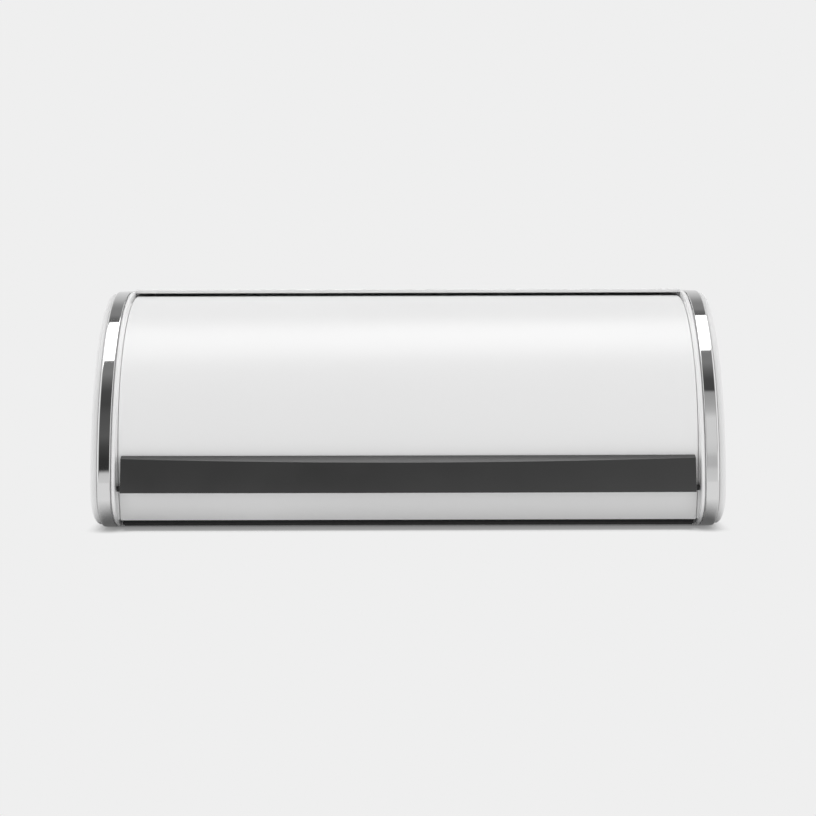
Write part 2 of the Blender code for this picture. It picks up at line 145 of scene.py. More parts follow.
def lid_arc(low, high, radius, step=1.0):
    steps = max(1, round(abs(high - low) / step))
    return [ahead(low + (high - low) * i / steps, radius) for i in range(steps + 1)]


def front(start, inset, steps=80):
    """The front of an end, from start degrees at its top to where it stands furthest out."""
    radii = (AXIS.y - FRONT, TOP - FRONT_MIDDLE)
    return arc((AXIS.y, FRONT_MIDDLE), radii, start, 180, steps, inset, FRONT_POWER)


def toe(start, inset, steps=36, end=270):
    """The low front corner of an end, which runs from 180 degrees to the flat bottom at 270."""
    centre = (FRONT + TOE_LENGTH, FRONT_MIDDLE)
    return arc(centre, (TOE_LENGTH, FRONT_MIDDLE - BOTTOM), start, end, steps, inset)


def heel(inset):
    centre = (BACK - HEEL_RADIUS, BOTTOM + HEEL_RADIUS)
    return arc(centre, (HEEL_RADIUS, HEEL_RADIUS), 270, 360, 14, inset)


def shoulder(inset):
    centre = (BACK - SHOULDER_RADIUS, TOP - SHOULDER_RADIUS)
    return arc(centre, (SHOULDER_RADIUS, SHOULDER_RADIUS), 0, 90, 16, inset)


def joined(*runs):
    """Round stretches joined by straight runs that have points of their own."""
    points = list(runs[0])
    for run in runs[1:]:
        points += between(points[-1], run[0]) + list(run)
    return points


def end_outline(inset=0.0):
    """The D-shaped outline of both ends, moved in by inset."""
    around = joined(front(90, inset) + toe(180, inset)[1:], heel(inset), shoulder(inset))
    return around + between(around[-1], around[0])


def fillet(points, radius, steps=4):
    """A closed outline with its corners rounded."""
    rounded = []
    count = len(points)
    for i, corner in enumerate(points):
        before = (Vector(points[i - 1]) - Vector(corner)).normalized()
        after = (Vector(points[(i + 1) % count]) - Vector(corner)).normalized()
        half = before.angle(after) / 2
        reach = radius / tan(half)
        centre = Vector(corner) + (before + after).normalized() * radius / sin(half)
        start = Vector(corner) + before * reach - centre
        end = Vector(corner) + after * reach - centre
        turn = start.angle_signed(end)
        for step in range(steps + 1):
            rounded.append(centre + Matrix.Rotation(-turn * step / steps, 2) @ start)
    return rounded


# Mesh building

def mesh_object(name, bm, smooth=30):
    bmesh.ops.recalc_face_normals(bm, faces=bm.faces)
    mesh = bpy.data.meshes.new(name)
    bm.to_mesh(mesh)
    bm.free()
    mesh.shade_smooth()
    mesh.set_sharp_from_angle(angle=radians(smooth))
    obj = bpy.data.objects.new(name, mesh)
    bpy.context.scene.collection.objects.link(obj)
    return obj


def skin(name, rings, closed_along=False, smooth=30):
    """A skin over closed rings of points, capped at both ends or with its last ring joined to its first."""
    bm = bmesh.new()
    verts = [[bm.verts.new(point) for point in ring] for ring in rings]
    pairs = list(zip(verts, verts[1:]))
    if closed_along:
        pairs.append((verts[-1], verts[0]))
    else:
        bm.faces.new(verts[0])
        bm.faces.new(verts[-1])
    for ring, following in pairs:
        for i, vert in enumerate(ring):
            j = (i + 1) % len(ring)
            bm.faces.new((vert, ring[j], following[j], following[i]))
    return mesh_object(name, bm, smooth)


def at_x(x, outline):
    return [Vector((x, y, z)) for y, z in outline]


def around_end(name, side, profile, closed_along=False):
    """A piece that follows the end outline, from (x, inset) points across it."""
    rings = [at_x(side * x, end_outline(inset)) for x, inset in profile]
    return skin(name, rings, closed_along)


def plate(name, loops, low, high, bevel):
    """A flat plate across X with softened edges: the first loop is its outline, the others are holes."""
    curve = bpy.data.curves.new(name, "CURVE")
    curve.dimensions = "2D"
    curve.fill_mode = "BOTH"
    curve.extrude = (high - low) / 2 - bevel
    curve.bevel_depth = bevel
    curve.offset = -bevel
    curve.bevel_resolution = 2
    for loop in loops:
        spline = curve.splines.new("POLY")
        spline.points.add(len(loop) - 1)
        for point, (y, z) in zip(spline.points, loop):
            point.co = (y, z, 0, 1)
        spline.use_cyclic_u = True
    flat = bpy.data.objects.new(name, curve)
    bpy.context.scene.collection.objects.link(flat)
    flat.rotation_euler = (pi / 2, 0, pi / 2)
    flat.location.x = (low + high) / 2
    bpy.context.view_layer.update()
    evaluated = flat.evaluated_get(bpy.context.evaluated_depsgraph_get())
    bm = bmesh.new()
    bm.from_mesh(bpy.data.meshes.new_from_object(evaluated))
    bm.transform(flat.matrix_world)
    bmesh.ops.remove_doubles(bm, verts=bm.verts, dist=1e-6)
    bpy.data.objects.remove(flat)
    return mesh_object(name, bm, 40)


def side_plate(name, loops, side, near, far, bevel):
    low, high = sorted((side * near, side * far))
    return plate(name, loops, low, high, bevel)


def turned(name, profile, origin, direction, closed=False, segments=40):
    """A turned piece about a line through origin, from (radius, height) points run down its outer side."""
    along = Vector(direction).normalized()
    aside = along.orthogonal().normalized()
    other = along.cross(aside)
    rings = []
    for radius, height in profile:
        ring = []
        for i in range(segments):
            angle = 2 * pi * i / segments
            spoke = aside * cos(angle) + other * sin(angle)
            ring.append(Vector(origin) + along * height + spoke * radius)
        rings.append(ring)
    return skin(name, rings, closed)


def dome(radius, low, height, steps=6, core=0.0002):
    """The (radius, height) points of a low domed head, from its middle down to its rim."""
    points = []
    for step in range(steps + 1):
        angle = pi / 2 * (1 - step / steps)
        points.append((max(core, radius * cos(angle)), low + height * sin(angle)))
    return points


def join(name, first, *others):
    """Several closed skins as one object."""
    with bpy.context.temp_override(
        active_object=first, selected_editable_objects=[first, *others]
    ):
        bpy.ops.object.join()
    first.name = name
    return first


def combine(target, other, operation):
    """Adds or cuts another mesh for good, and removes it."""
    modifier = target.modifiers.new("boolean", "BOOLEAN")
    modifier.operation = operation
    modifier.solver = "EXACT"
    modifier.object = other
    evaluated = target.evaluated_get(bpy.context.evaluated_depsgraph_get())
    mesh = bpy.data.meshes.new_from_object(evaluated)
    target.modifiers.remove(modifier)
    target.data = mesh
    bpy.data.objects.remove(other)
    return target


def soften(obj, width, segments=3, angle=40):
    bevel = obj.modifiers.new("soft_edges", "BEVEL")
    bevel.width = width
    bevel.segments = segments
    bevel.limit_method = "ANGLE"
    bevel.angle_limit = radians(angle)
    bevel.harden_normals = False
    return obj


# Materials

class Nodes:
    """Short calls for building a node tree."""

    def __init__(self, tree):
        self.tree = tree

    def add(self, kind, **settings):
        node = self.tree.nodes.new(kind)
        for key, value in settings.items():
            setattr(node, key, value)
        return node

    def feed(self, socket, value):
        if isinstance(value, bpy.types.NodeSocket):
            self.tree.links.new(value, socket)
        else:
            socket.default_value = value

    def maths(self, operation, *values, clamp=False):
        node = self.add("ShaderNodeMath", operation=operation, use_clamp=clamp)
        for socket, value in zip(node.inputs, values):
            self.feed(socket, value)
        return node.outputs[0]

    def between(self, value, low, high, to_low=0.0, to_high=1.0, smooth=False):
        node = self.add("ShaderNodeMapRange")
        if smooth:
            node.interpolation_type = "SMOOTHSTEP"
        for socket, setting in zip(node.inputs, (value, low, high, to_low, to_high)):
            self.feed(socket, setting)
        return node.outputs[0]

    def mix(self, factor, first, second):
        node = self.add("ShaderNodeMix", data_type="RGBA")
        self.feed(node.inputs[0], factor)
        self.feed(node.inputs[6], first)
        self.feed(node.inputs[7], second)
        return node.outputs[2]

    def noise(self, where, scale, detail=3.0):
        node = self.add("ShaderNodeTexNoise")
        self.feed(node.inputs["Vector"], where)
        node.inputs["Scale"].default_value = scale
        node.inputs["Detail"].default_value = detail
        return node.outputs[0]

    def blend(self, factor, first, second):
        node = self.add("ShaderNodeMix", data_type="FLOAT")
        self.feed(node.inputs[0], factor)
        self.feed(node.inputs[2], first)
        self.feed(node.inputs[3], second)
        return node.outputs[0]

    def occlusion(self, distance):
        node = self.add("ShaderNodeAmbientOcclusion", samples=8)
        node.inputs["Distance"].default_value = distance
        return node.outputs["AO"]

    def grey(self, value):
        colour = self.add("ShaderNodeCombineColor")
        for socket in colour.inputs:
            self.feed(socket, value)
        return colour.outputs[0]


def grey(level):
    return (level, level, level, 1)


def finish_of(name, colour, roughness, metallic=0.0, mottle=0.02, patches=40.0, spread=0.05,
              grain=900.0, height=2e-6, stretch=(1, 1, 1), coat=0.0, specular=0.5):
    """A surface with a faint mottled colour, uneven gloss and a fine grain in its relief."""
    material = bpy.data.materials.new(name)
    material.use_nodes = True
    nodes = Nodes(material.node_tree)
    shader = material.node_tree.nodes["Principled BSDF"]
    shader.inputs["Metallic"].default_value = metallic
    shader.inputs["Coat Weight"].default_value = coat
    shader.inputs["Coat Roughness"].default_value = 0.06
    shader.inputs["Specular IOR Level"].default_value = specular
    where = nodes.add("ShaderNodeTexCoord").outputs["Object"]
    scaled = nodes.add("ShaderNodeMapping")
    nodes.feed(scaled.inputs["Vector"], where)
    scaled.inputs["Scale"].default_value = stretch
    broad = nodes.noise(where, patches)
    fine = nodes.noise(scaled.outputs[0], grain)
    low = (*(c * (1 - mottle) for c in colour), 1)
    high = (*(min(1, c * (1 + mottle)) for c in colour), 1)
    nodes.feed(shader.inputs["Base Color"], nodes.mix(broad, low, high))
    uneven = nodes.between(broad, 0.3, 0.7, roughness - spread, roughness + spread)
    nodes.feed(shader.inputs["Roughness"], uneven)
    bump = nodes.add("ShaderNodeBump")
    bump.inputs["Strength"].default_value = 1.0
    bump.inputs["Distance"].default_value = height
    nodes.feed(bump.inputs["Height"], fine)
    nodes.feed(shader.inputs["Normal"], bump.outputs[0])
    return material


LOOKS = {
    "white_enamel": finish_of("enamel", (0.87, 0.87, 0.87), 0.30, mottle=0.004, patches=9, spread=0.02,
                              grain=420, height=3e-6),
    "white_plastic": finish_of("white_moulding", (0.87, 0.87, 0.87), 0.36, mottle=0.005, patches=14,
                               spread=0.03, grain=1500, height=3e-6),
    # Painted shade: the end mouldings get a darker copy of the walls' white moulding, so that their faces
    # look less lit
    "shaded_cover_plastic": finish_of("cover_moulding_painted_shade", (0.77, 0.77, 0.77), 0.36, mottle=0.005, patches=14,
                               spread=0.03, grain=1500, height=3e-6),
    "chrome_trim": finish_of("chrome", (0.74, 0.74, 0.74), 0.05, 1.0, mottle=0.01, patches=25,
                             spread=0.015, grain=150, height=4e-6),
    "plain_steel": finish_of("zinc_steel", (0.52, 0.53, 0.55), 0.34, 1.0, mottle=0.10, patches=160,
                             spread=0.08, grain=1200, height=6e-6, stretch=(1, 1, 0.06)),
    "grip_plastic": finish_of("grip_moulding", (0.021, 0.021, 0.021), 0.36, mottle=0.05, patches=30,
                              spread=0.03, grain=2600, height=6e-6, specular=0.75),
    "rail_plastic": finish_of("rail_moulding", (0.012, 0.012, 0.012), 0.45, mottle=0.10, patches=40,
                              spread=0.05, grain=2200, height=9e-6),
    "pale_nylon": finish_of("nylon", (0.60, 0.60, 0.55), 0.42, mottle=0.03, patches=120, spread=0.05,
                            grain=1800, height=5e-6),
    "black_rubber": finish_of("rubber", (0.022, 0.022, 0.022), 0.75, mottle=0.12, patches=220, spread=0.08,
                              grain=3000, height=2e-5),
}


def dress(obj, slot, body, *nodes, look=None):
    """Gives a new piece its material and its body, and hides the CAD nodes it stands for."""
    obj.data.materials.clear()
    obj.data.materials.append(LOOKS[look or slot])
    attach(obj, body)
    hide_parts(*nodes)
    return obj


# The case

# The stiffening ribs pressed into its base
RIB_COUNT = 7
RIB_PITCH = 22 * MM
RIB_HALF_WIDTH = 4.5 * MM
RIB_HALF_LENGTH = 190 * MM
RIB_RUN_OUT = 8 * MM
RIB_HEIGHT = 1.8 * MM


def shell_loop(x):
    """The section of the case's sheet at x: out along its outer face, round the hem and back inside."""
    half = RIB_HALF_LENGTH - abs(x)
    rise = RIB_HEIGHT * smooth_step(half / RIB_RUN_OUT)
    outer = [pressed(point, rise) for point in shell_run(SHELL_INSET)]
    inner = [pressed(point, rise) for point in shell_run(SHELL_INSET + SHELL_THICK)]
    back, edge, low = AXIS.y + 3 * MM, AXIS.y - 5 * MM, HEM_TOP - 3 * MM
    hem = fillet([(back, HEM_TOP), (edge, HEM_TOP), (edge, low), (back, low)], 1.4 * MM)
    return outer + hem + inner[::-1]


def smooth_step(share):
    share = min(1.0, max(0.0, share))
    return share * share * (3 - 2 * share)


def pressed(point, rise):
    """A point of the base lifted where a stiffening rib is pressed into it."""
    y, z = point
    if z > BOTTOM + 2 * MM or rise == 0:
        return point
    first = AXIS.y - RIB_PITCH * (RIB_COUNT - 1) / 2
    nearest = round((y - first) / RIB_PITCH)
    if not 0 <= nearest < RIB_COUNT:
        return point
    off = abs(y - first - nearest * RIB_PITCH)
    return Vector((y, z + rise * smooth_step(1 - off / RIB_HALF_WIDTH)))


def shell_run(inset):
    """The sheet's outline from its front lip, under and behind, to just under the hem."""
    lip = toe(SHELL_LIP, inset, 12)
    back = heel(inset)
    base_steps = 150
    base = [lip[-1].lerp(back[0], i / base_steps) for i in range(1, base_steps)]
    rest = joined(back, shoulder(inset))
    edge = Vector((AXIS.y + 2.5 * MM, TOP - inset))
    return lip + base + rest + between(rest[-1], edge) + [edge]


def make_wrap_shell():
    """The bent sheet with its ribbed base, and a flange at each end."""
    ends = [SHELL_HALF, RIB_HALF_LENGTH + 2 * MM]
    run_out = [RIB_HALF_LENGTH - RIB_RUN_OUT * i / 8 for i in range(9)]
    inward = ends + run_out + [RIB_HALF_LENGTH * 0.5, 0]
    stations = [-x for x in inward] + inward[-2::-1]
    shell = skin("case_sheet", [at_x(x, shell_loop(x)) for x in stations])
    flanges = []
    near, far, stop = SHELL_INSET + 0.3 * MM, 9 * MM, AXIS.y + 6 * MM
    for word, side in SIDES.items():
        outer = toe(SHELL_LIP, near, 18) + heel(near) + shoulder(near)
        inner = toe(SHELL_LIP, far, 18) + heel(far) + shoulder(far)
        loop = outer + [Vector((stop, outer[-1].y)), Vector((stop, inner[-1].y))] + inner[::-1]
        name = f"case_flange_{word}"
        flanges.append(side_plate(name, [loop], side, SHELL_HALF - SHELL_THICK, SHELL_HALF, 0.1 * MM))
    dress(join("case_sheet", shell, *flanges), "white_enamel", "case", "wrap_shell")


def make_sill():
    """The dark strip along the base's front edge, which shows as a band under the lid."""
    near, far = SILL_INSETS
    start, end = SILL_ANGLES
    section = toe(start, near, 14, end) + toe(start, far, 14, end)[::-1]
    sill = plate("sill", [section], -SILL_HALF, SILL_HALF, 0.3 * MM)
    dress(sill, "black_rubber", "case", "front_sill")


def make_end(word, side):
    """The white wall with its pivot boss, the seat for the bright trim, and the land beside the lid."""
    plate_out = PLATE_IN + PLATE_THICK
    centre = (AXIS.y, AXIS.z)
    loops = [end_outline(0.4 * MM), circle(centre, 3.9 * MM)]
    wall = side_plate(f"wall_{word}", loops, side, PLATE_IN, plate_out, 1.0 * MM)
    seat_in, groove = plate_out - 0.3 * MM, plate_out + 0.7 * MM
    near, low, far = TRIM_THICK + 0.3 * MM, TRIM_THICK + 1.8 * MM, TRIM_THICK + 2.3 * MM
    seat_profile = [(seat_in, low), (groove, low), (groove, near)]
    seat_profile += [(SEAT_OUT, near), (SEAT_OUT, far), (seat_in, far)]
    seat = around_end(f"seat_{word}", side, seat_profile, closed_along=True)
    boss_out, bore, rim = 222.5 * MM, 4.2 * MM, 8 * MM
    boss_profile = [(bore, boss_out), (rim, boss_out), (rim, plate_out), (bore, plate_out)]
    boss = turned(f"boss_{word}", boss_profile, (0, *centre), (side, 0, 0), closed=True)
    rim_side = front(LAND_TOP_ON_RIM, 0.45 * MM) + toe(180, 0.45 * MM, end=230)[1:]
    middle = Vector(centre)
    inner, outer = LAND_RADII
    lid_side = [middle + (p - middle) * min(1, outer / (p - middle).length) for p in rim_side]
    crescent = lid_side + lid_arc(-21.5, LAND_TOP, inner)
    land = side_plate(f"land_{word}", [crescent], side, LAND_IN, PLATE_IN + 2.4 * MM, 0.5 * MM)
    dress(join(f"end_wall_{word}", wall, seat, boss, land), "white_plastic", "case", f"side_frame_{word}")


def make_trim(word, side):
    """The bright band: a thin flat strip with long rounded shoulders."""
    depth = 0.55 * MM
    steps = 7

    def rounded(edge, reach):
        """From one edge of the strip up to its flat, with one point more so that the flat shades flat."""
        run = []
        for step in range(steps + 1):
            angle = pi / 2 * step / steps
            run.append((edge + reach * (1 - cos(angle)), depth * (1 - sin(angle))))
        return run + [(edge + reach * 1.1, 0)]

    across = rounded(TRIM_OUT, -1.5 * MM) + rounded(TRIM_IN + TRIM_GAP, 0.6 * MM)[::-1]
    profile = [(TRIM_OUT, TRIM_THICK)] + across + [(TRIM_IN + TRIM_GAP, TRIM_THICK)]
    band = around_end(f"bright_trim_{word}", side, profile, closed_along=True)
    dress(band, "chrome_trim", "case", f"trim_ring_{word}")


def make_cover(word, side):
    """The hollow end moulding, with a rounded edge round its flat face."""
    inset, reach, rise = 1.8 * MM, 5.2 * MM, 3.4 * MM
    chamfer = 0.4 * MM
    profile = [(231.2 * MM, 8.5 * MM), (229.8 * MM, 4.2 * MM), (COVER_IN, 3.8 * MM)]
    profile += [(COVER_IN, inset + chamfer), (COVER_IN + chamfer, inset)]
    steps = 10
    for step in range(steps + 1):
        angle = pi / 2 * step / steps
        x = COVER_OUT - 0.25 * MM - rise + rise * sin(angle)
        profile.append((x, inset + reach * (1 - cos(angle))))
    cover = around_end(f"end_moulding_{word}", side, profile)
    # Dressed in the darker copy of the white moulding, which is painted shade on the ends
    dress(cover, "white_plastic", "case", f"side_cover_{word}", look="shaded_cover_plastic")


# The lid

def make_lid_sheet():
    """The curved sheet with its turned-in ends and a folded lower edge."""
    bend = 0.85 * MM
    fold_high, fold_thick = LID_LOW + 2.6, 0.8 * MM

    def path(offset, radius_in):
        half, radius = LID_HALF - offset, LID_RADIUS - radius_in
        turn = bend - offset
        corner = arc((half - turn, radius - turn), (turn, turn), 0, 90, 6)
        right = [Vector((half, LID_FLANGE_RADIUS)), Vector((half, LID_FLANGE_RADIUS + 2 * MM))] + corner
        right += [Vector((half - turn - 1 * MM, radius)), Vector((half - 12 * MM, radius))]
        right += [Vector((half * share, radius)) for share in (0.75, 0.5, 0.25)]
        return right + [Vector((0, radius))] + [Vector((-x, r)) for x, r in reversed(right)]

    def ring(angle):
        share = smooth_step((fold_high - angle) / 0.4)
        points = path(0, 0) + path(LID_THICK, LID_THICK + fold_thick * share)[::-1]
        return [Vector((x, *ahead(angle, radius))) for x, radius in points]

    steps = 126
    angles = [LID_LOW + (LID_HIGH - LID_LOW) * i / steps for i in range(steps + 1)]
    angles = sorted(angles + [LID_LOW + 0.1, fold_high - 0.4, fold_high - 0.2, fold_high])
    sheet = skin("lid_sheet", [ring(angle) for angle in angles])
    dress(sheet, "white_enamel", "lid", "lid_panel")


def rounded_window(low, high, inner, outer, corner):
    """A sector-shaped hole with round corners."""
    middle = (inner + outer) / 2
    flat = [
        (radians(low) * middle, inner),
        (radians(low) * middle, outer),
        (radians(high) * middle, outer),
        (radians(high) * middle, inner),
    ]
    points = []
    rounded = fillet(flat, corner, 6)
    for i, point in enumerate(rounded):
        following = rounded[(i + 1) % len(rounded)]
        pieces = max(1, round((following - point).length / (3 * MM)))
        points += [point.lerp(following, k / pieces) for k in range(pieces)]
    return [ahead(across / middle * 180 / pi, radius) for across, radius in points]


def make_arm(word, side):
    low, high, reach, hub = -17.0, 91.0, 117.3 * MM, 12 * MM
    loops = [lid_arc(low, high, reach) + lid_arc(high + 90, low + 270, hub, 4)]
    for start, end in ((-8.0, 34.0), (42.0, 82.0)):
        loops.append(rounded_window(start, end, 28 * MM, 99 * MM, 6 * MM))
    loops.append(circle((AXIS.y, AXIS.z), 4.9 * MM))
    loops += [circle(ahead(angle, RIVET_RADIUS), 1.7 * MM, 20) for angle in RIVET_ANGLES]
    arm = side_plate(f"arm_plate_{word}", loops, side, ARM_IN, ARM_OUT, 0.15 * MM)
    dress(arm, "plain_steel", "lid", f"lid_arm_{word}")


def make_rivets(word, side):
    for number, angle in enumerate(RIVET_ANGLES, 1):
        origin = (0, *ahead(angle, RIVET_RADIUS))
        node = f"lid_rivet_{number}_{word}"
        low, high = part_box(node)
        inner, outer = sorted((abs(low.x), abs(high.x)))
        head, shank = 2.5 * MM, 1.4 * MM
        under, over = inner + 1 * MM, outer - 0.5 * MM
        profile = dome(head, under, -1 * MM) + [(shank, under), (shank, over)]
        profile += dome(head, over, 0.5 * MM)[::-1]
        rivet = turned(f"rivet_{number}_{word}", profile, origin, (side, 0, 0), segments=28)
        dress(rivet, "plain_steel", "lid", node)


def make_pivot(word, side):
    """Domed pin, thrust washer and ring on the case, and the flanged bush in the arm."""
    origin, out = (0, AXIS.y, AXIS.z), (side, 0, 0)
    edge, core = 0.2 * MM, 0.2 * MM
    inner, under, tip = ARM_IN - 2.8 * MM, ARM_IN - 1.3 * MM, 225 * MM
    head, shank = 6.5 * MM, 3.6 * MM
    profile = [(core, inner), (4.5 * MM, inner), (head - 0.3 * MM, inner), (head, inner + 0.3 * MM)]
    profile += [(head, under), (shank, under), (shank, tip - 0.4 * MM)]
    profile += [(shank - 0.4 * MM, tip), (core, tip)]
    pin = turned(f"pin_{word}", profile, origin, out)
    dress(pin, "plain_steel", "case", f"pivot_pin_{word}")
    rings = (
        ("washer", "pivot_washer", "pale_nylon", 4.9, 8.5, ARM_OUT + 0.3 * MM, PLATE_IN - 0.3 * MM),
        ("ring", "pivot_clip", "plain_steel", 3.9, 6.5, 222.8 * MM, 223.8 * MM),
    )
    for label, node, slot, bore, rim, low, high in rings:
        bore, rim = bore * MM, rim * MM
        section = [(bore, high), (rim - edge, high), (rim, high - edge)]
        section += [(rim, low + edge), (rim - edge, low), (bore, low)]
        piece = turned(f"{label}_{word}", section, origin, out, closed=True)
        dress(piece, slot, "case", f"{node}_{word}")
    low, high = ARM_IN - 1.0 * MM, ARM_IN - 0.3 * MM
    bore, sleeve, rim = 3.9 * MM, 4.6 * MM, 7.0 * MM
    section = [(bore, LID_HALF), (sleeve, LID_HALF), (sleeve, high), (rim, high)]
    section += [(rim, low + edge), (rim - edge, low), (bore, low)]
    bush = turned(f"bush_{word}", section, origin, out, closed=True)
    dress(bush, "pale_nylon", "lid", f"pivot_bush_{word}")


def make_buffers(word, side):
    for role in ("closing", "opening"):
        node = f"{role}_buffer_{word}"
        low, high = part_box(node)
        inner, outer = sorted((abs(low.x), abs(high.x)))
        radius = (high.z - low.z) / 2
        origin = (0, (low.y + high.y) / 2, (low.z + high.z) / 2)
        edge = 0.8 * MM
        profile = [(0.3 * MM, inner), (radius - edge, inner)]
        for turn in (0.5, 1.0, pi / 2):
            profile.append((radius - edge + edge * sin(turn), inner + edge * (1 - cos(turn))))
        profile += [(radius, outer), (0.3 * MM, outer)]
        buffer = turned(f"{role}_stop_{word}", profile, origin, (side, 0, 0))
        dress(buffer, "black_rubber", "case", node)


def make_feet(word, side):
    for place in ("front", "rear"):
        node = f"foot_{place}_{word}"
        low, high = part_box(node)
        middle = (low + high) / 2
        radius, height = (high.x - low.x) / 2, high.z
        edge = 0.5 * MM
        profile = [(0.3 * MM, height), (radius, height), (radius, edge)]
        for turn in (0.5, 1.0, pi / 2):
            profile.append((radius - edge * (1 - cos(turn)), edge * (1 - sin(turn))))
        profile += [(radius - 2 * MM, 0), (0.3 * MM, 0)]
        foot = turned(f"pad_{place}_{word}", profile, (middle.x, middle.y, 0), (0, 0, 1), segments=64)
        dress(foot, "black_rubber", "case", node)


# The handle

def grip_section(x):
    """The grip's hooked section at x, which bows out towards the middle of the handle."""
    bow = 2 * MM * (1 - (x / GRIP_HALF) ** 2)
    surface = LID_RADIUS + 0.4 * MM
    hook = [(-124.2, 1.6, 1.5), (-130.1, -23.0, 0), (-127.7, -23.2, 0), (-123.8, -8.4, 0)]
    points = [ahead(1.75, surface)]
    for y, z, lowered in hook:
        points.append(Vector((AXIS.y + y * MM - bow, AXIS.z + z * MM - bow * lowered)))
    points += [Vector((AXIS.y - 120.8 * MM, AXIS.z - 6.4 * MM)), ahead(-3.0, surface), ahead(-0.6, surface)]
    return points


def grip_rings(half, sections):
    """Sections along the grip, with extra ones by its ends so that its face shades flat up to them."""
    places = [half * (2 * i / sections - 1) for i in range(1, sections)]
    for support in (0, 0.45 * MM, 1 * MM):
        places += [half - support, support - half]
    return [at_x(x, fillet(grip_section(x), 0.45 * MM, 4)) for x in sorted(places)]


def make_grip():
    grip = skin("grip_moulding", grip_rings(GRIP_HALF, 40), smooth=25)
    soften(grip, 0.3 * MM, 3, 50)
    dress(grip, "grip_plastic", "lid", "handle_grip")


def make_rail():
    def section(low, high, radius):
        return lid_arc(low, high, LID_RADIUS + 0.3 * MM, 1) + lid_arc(high, low, radius, 1)

    half = 206 * MM
    body = plate("rail_body", [section(-10.3, -4.3, 121.5 * MM)], -half, half, 0.2 * MM)
    lip = plate("rail_lip", [section(-10.7, -9.1, 122.5 * MM)], -LIP_HALF, LIP_HALF, 0.2 * MM)
    dress(join("rail_moulding", body, lip), "rail_plastic", "lid", "handle_rail")


def make_handle_screws():
    """Pan-head screws inside the lid, with cross recesses."""
    under = LID_RADIUS - LID_THICK - 0.3 * MM
    radial = Vector((0, -cos(radians(HANDLE_SCREW_ANGLE)), sin(radians(HANDLE_SCREW_ANGLE))))
    for number in range(1, 6):
        node = f"handle_screw_{number}"
        low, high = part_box(node)
        origin = ((low.x + high.x) / 2, AXIS.y, AXIS.z)
        shank, tip = 1.5 * MM, 121.1 * MM
        profile = dome(3 * MM, under, -1.5 * MM, 7)
        profile += [(shank, under), (shank, tip - 0.2 * MM), (0.2 * MM, tip)]
        screw = turned(f"pan_screw_{number}", profile, origin, radial, segments=32)
        across = Vector((1, 0, 0))
        around = radial.cross(across)
        for first, second in ((across, around), (around, across)):
            bm = bmesh.new()
            bmesh.ops.create_cube(bm, size=1)
            axes = Matrix((first * 3 * MM, second * 0.55 * MM, radial * 1.8 * MM)).transposed()
            bm.transform(Matrix.Translation(Vector(origin) + radial * (under - 1.5 * MM)) @ axes.to_4x4())
            combine(screw, mesh_object("recess", bm), "DIFFERENCE")
        dress(screw, "plain_steel", "lid", node)


# Setting

BACKDROP = 0.863
SIDE_LIGHT = 1.04
# What the room holds, as (degrees over the box from the front, brightness)
STUDIO = (
    (0, 0.80), (9, 0.70), (11, 0.04), (17, 0.04), (24, 0.07), (30, 0.12), (42, 0.10), (48, 0.07),
    (56, 0.08), (61, 0.14), (67, 0.24), (76, 0.24), (76.6, 2.9), (109, 2.9), (109.8, 0.12),
    (114, 0.17), (118, 0.26), (128, 0.28), (134, 0.36), (143, 0.56), (155, 0.70), (180, 0.84),
)
# The pale card that stands to the right of the camera
CARD = (
    (0, 0.76), (7, 0.70), (9.5, 0.56), (14, 0.58), (17, 0.72), (23, 0.79), (36, 0.80),
    (40, 0.56), (44, 0.46), (51, 0.38), (52.5, 0.10),
)


def make_floor():
    """A wide, evenly glowing floor with a painted shadow under the object: its glow is darkened by ambient
    occlusion and by place, in separate amounts as it is seen, mirrored and as it lights.
    """
    bm = bmesh.new()
    bmesh.ops.create_grid(bm, x_segments=1, y_segments=1, size=60)
    floor = mesh_object("floor", bm)
    floor.location.z = -0.0001
    material = bpy.data.materials.new("floor")
    material.use_nodes = True
    tree = material.node_tree
    nodes = Nodes(tree)
    tree.nodes.remove(tree.nodes["Principled BSDF"])
    ray_kinds = nodes.add("ShaderNodeLightPath").outputs
    forward = nodes.add("ShaderNodeSeparateXYZ")
    nodes.feed(forward.inputs[0], nodes.add("ShaderNodeTexCoord").outputs["Object"])
    # Painted contact shadow where the floor is seen: darkest under the box, lighter towards its front edge,
    # and rising to the backdrop's level with ambient occlusion
    painted_shadow_depth = nodes.between(forward.outputs[1], -0.061, -0.084, 0.05, 0.27, smooth=True)
    near = nodes.between(nodes.occlusion(0.014), 0.05, 0.78)
    near = nodes.blend(near, painted_shadow_depth, BACKDROP)
    # Painted shadow from a wider ambient occlusion, in the light the floor throws back onto the box and in
    # what the box mirrors
    openness = nodes.occlusion(0.040)
    lighting = nodes.between(openness, 0.50, 0.98, 0.05, 1.06)
    mirrored = nodes.between(openness, 0.42, 0.98, 0.14, BACKDROP)
    unseen = nodes.blend(ray_kinds["Is Glossy Ray"], lighting, mirrored)
    glow = nodes.add("ShaderNodeEmission")
    shown = nodes.blend(ray_kinds["Is Camera Ray"], unseen, near)
    nodes.feed(glow.inputs["Color"], nodes.grey(shown))
    tree.links.new(glow.outputs[0], tree.nodes["Material Output"].inputs[0])
    floor.data.materials.append(material)


def brightness_by_angle(nodes, angle, stops):
    """A brightness that follows (degrees, brightness) stops."""
    ramp = nodes.add("ShaderNodeValToRGB")
    elements = ramp.color_ramp.elements
    peak = max(level for _, level in stops)
    while len(elements) < len(stops):
        elements.new(0.5)
    for element, (degrees_over, level) in zip(elements, stops):
        element.position = degrees_over / 180
        element.color = grey(level / peak)
    nodes.feed(ramp.inputs[0], nodes.maths("DIVIDE", angle, pi))
    return nodes.maths("MULTIPLY", ramp.outputs[0], peak)


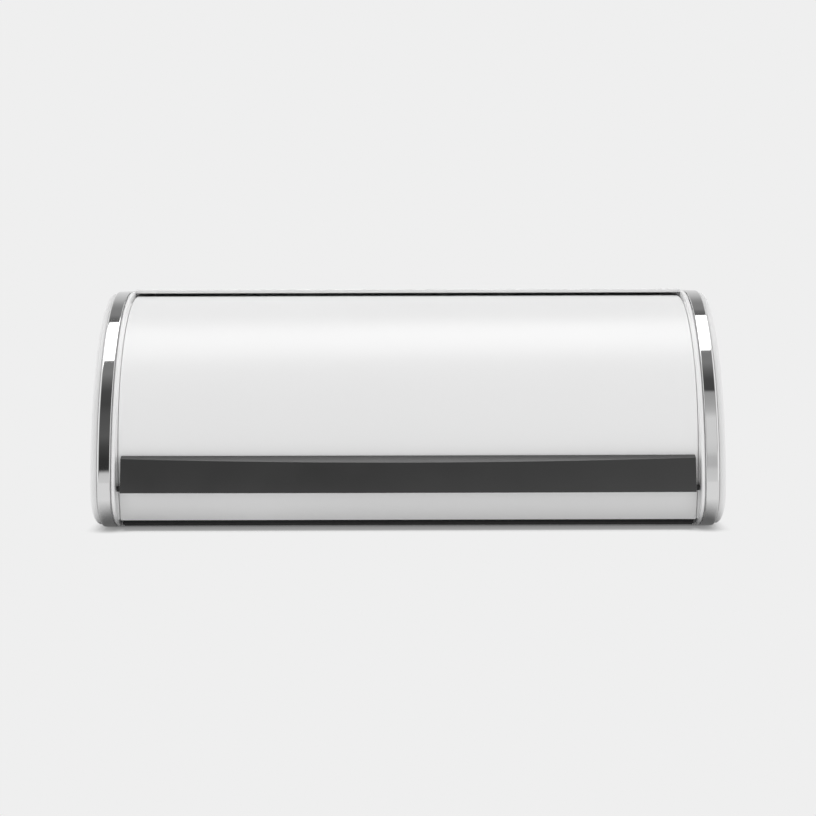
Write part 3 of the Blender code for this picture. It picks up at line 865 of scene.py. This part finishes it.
def make_studio():
    """A soft studio all round: a long overhead softbox, bright sides, and a card at the right."""
    world = bpy.data.worlds.new("studio")
    bpy.context.scene.world = world
    world.use_nodes = True
    tree = world.node_tree
    nodes = Nodes(tree)
    direction = nodes.add("ShaderNodeSeparateXYZ")
    nodes.feed(direction.inputs[0], nodes.add("ShaderNodeTexCoord").outputs["Generated"])
    x, y, z = direction.outputs
    over = nodes.maths("ARCTAN2", z, nodes.maths("MULTIPLY", y, -1.0))
    skewed = nodes.maths("SUBTRACT", over, nodes.maths("MULTIPLY", x, 0.40))
    strip = brightness_by_angle(nodes, skewed, STUDIO)
    beside = nodes.maths(
        "MULTIPLY",
        nodes.between(x, 0.06, 0.10, smooth=True),
        nodes.between(x, 0.24, 0.30, 1.0, 0.0, smooth=True),
    )
    beside = nodes.maths("MULTIPLY", beside, nodes.between(over, radians(51.5), radians(52.5), 1.0, 0.0))
    carded = nodes.blend(beside, strip, brightness_by_angle(nodes, over, CARD))
    aside = nodes.between(nodes.maths("ABSOLUTE", x), 0.22, 0.50, smooth=True)
    lit = nodes.blend(aside, carded, SIDE_LIGHT)
    seen = nodes.add("ShaderNodeLightPath").outputs["Is Camera Ray"]
    shown = nodes.mix(seen, nodes.grey(lit), grey(BACKDROP))
    nodes.feed(tree.nodes["Background"].inputs["Color"], shown)


def make_camera():
    """A long lens a little above the top of the box, looking slightly down."""
    data = bpy.data.cameras.new("camera")
    data.lens = 87.4
    data.clip_start = 0.1
    camera = bpy.data.objects.new("camera", data)
    bpy.context.scene.collection.objects.link(camera)
    bpy.context.scene.camera = camera
    pitch, roll = 3.67, 0.14
    turn = Matrix.Rotation(radians(90 - pitch), 4, "X") @ Matrix.Rotation(radians(-roll), 4, "Z")
    camera.matrix_world = Matrix.Translation((0.0, AXIS.y - 1.564, 0.1844)) @ turn


make_camera()
make_wrap_shell()
make_sill()
make_lid_sheet()
for side_word, side_sign in SIDES.items():
    make_end(side_word, side_sign)
    make_trim(side_word, side_sign)
    make_cover(side_word, side_sign)
    make_arm(side_word, side_sign)
    make_rivets(side_word, side_sign)
    make_pivot(side_word, side_sign)
    make_buffers(side_word, side_sign)
    make_feet(side_word, side_sign)
make_grip()
make_rail()
make_handle_screws()
slots = {part["node"]: part["material_slot"] for part in frame["record"]["subparts"]}
for cad_name, cad_node in frame["nodes"].items():
    if not cad_node.hide_render:
        cad_node.data.materials.clear()
        cad_node.data.materials.append(LOOKS[slots[cad_name]])
make_floor()
make_studio()
bpy.context.scene.view_settings.view_transform = "Standard"
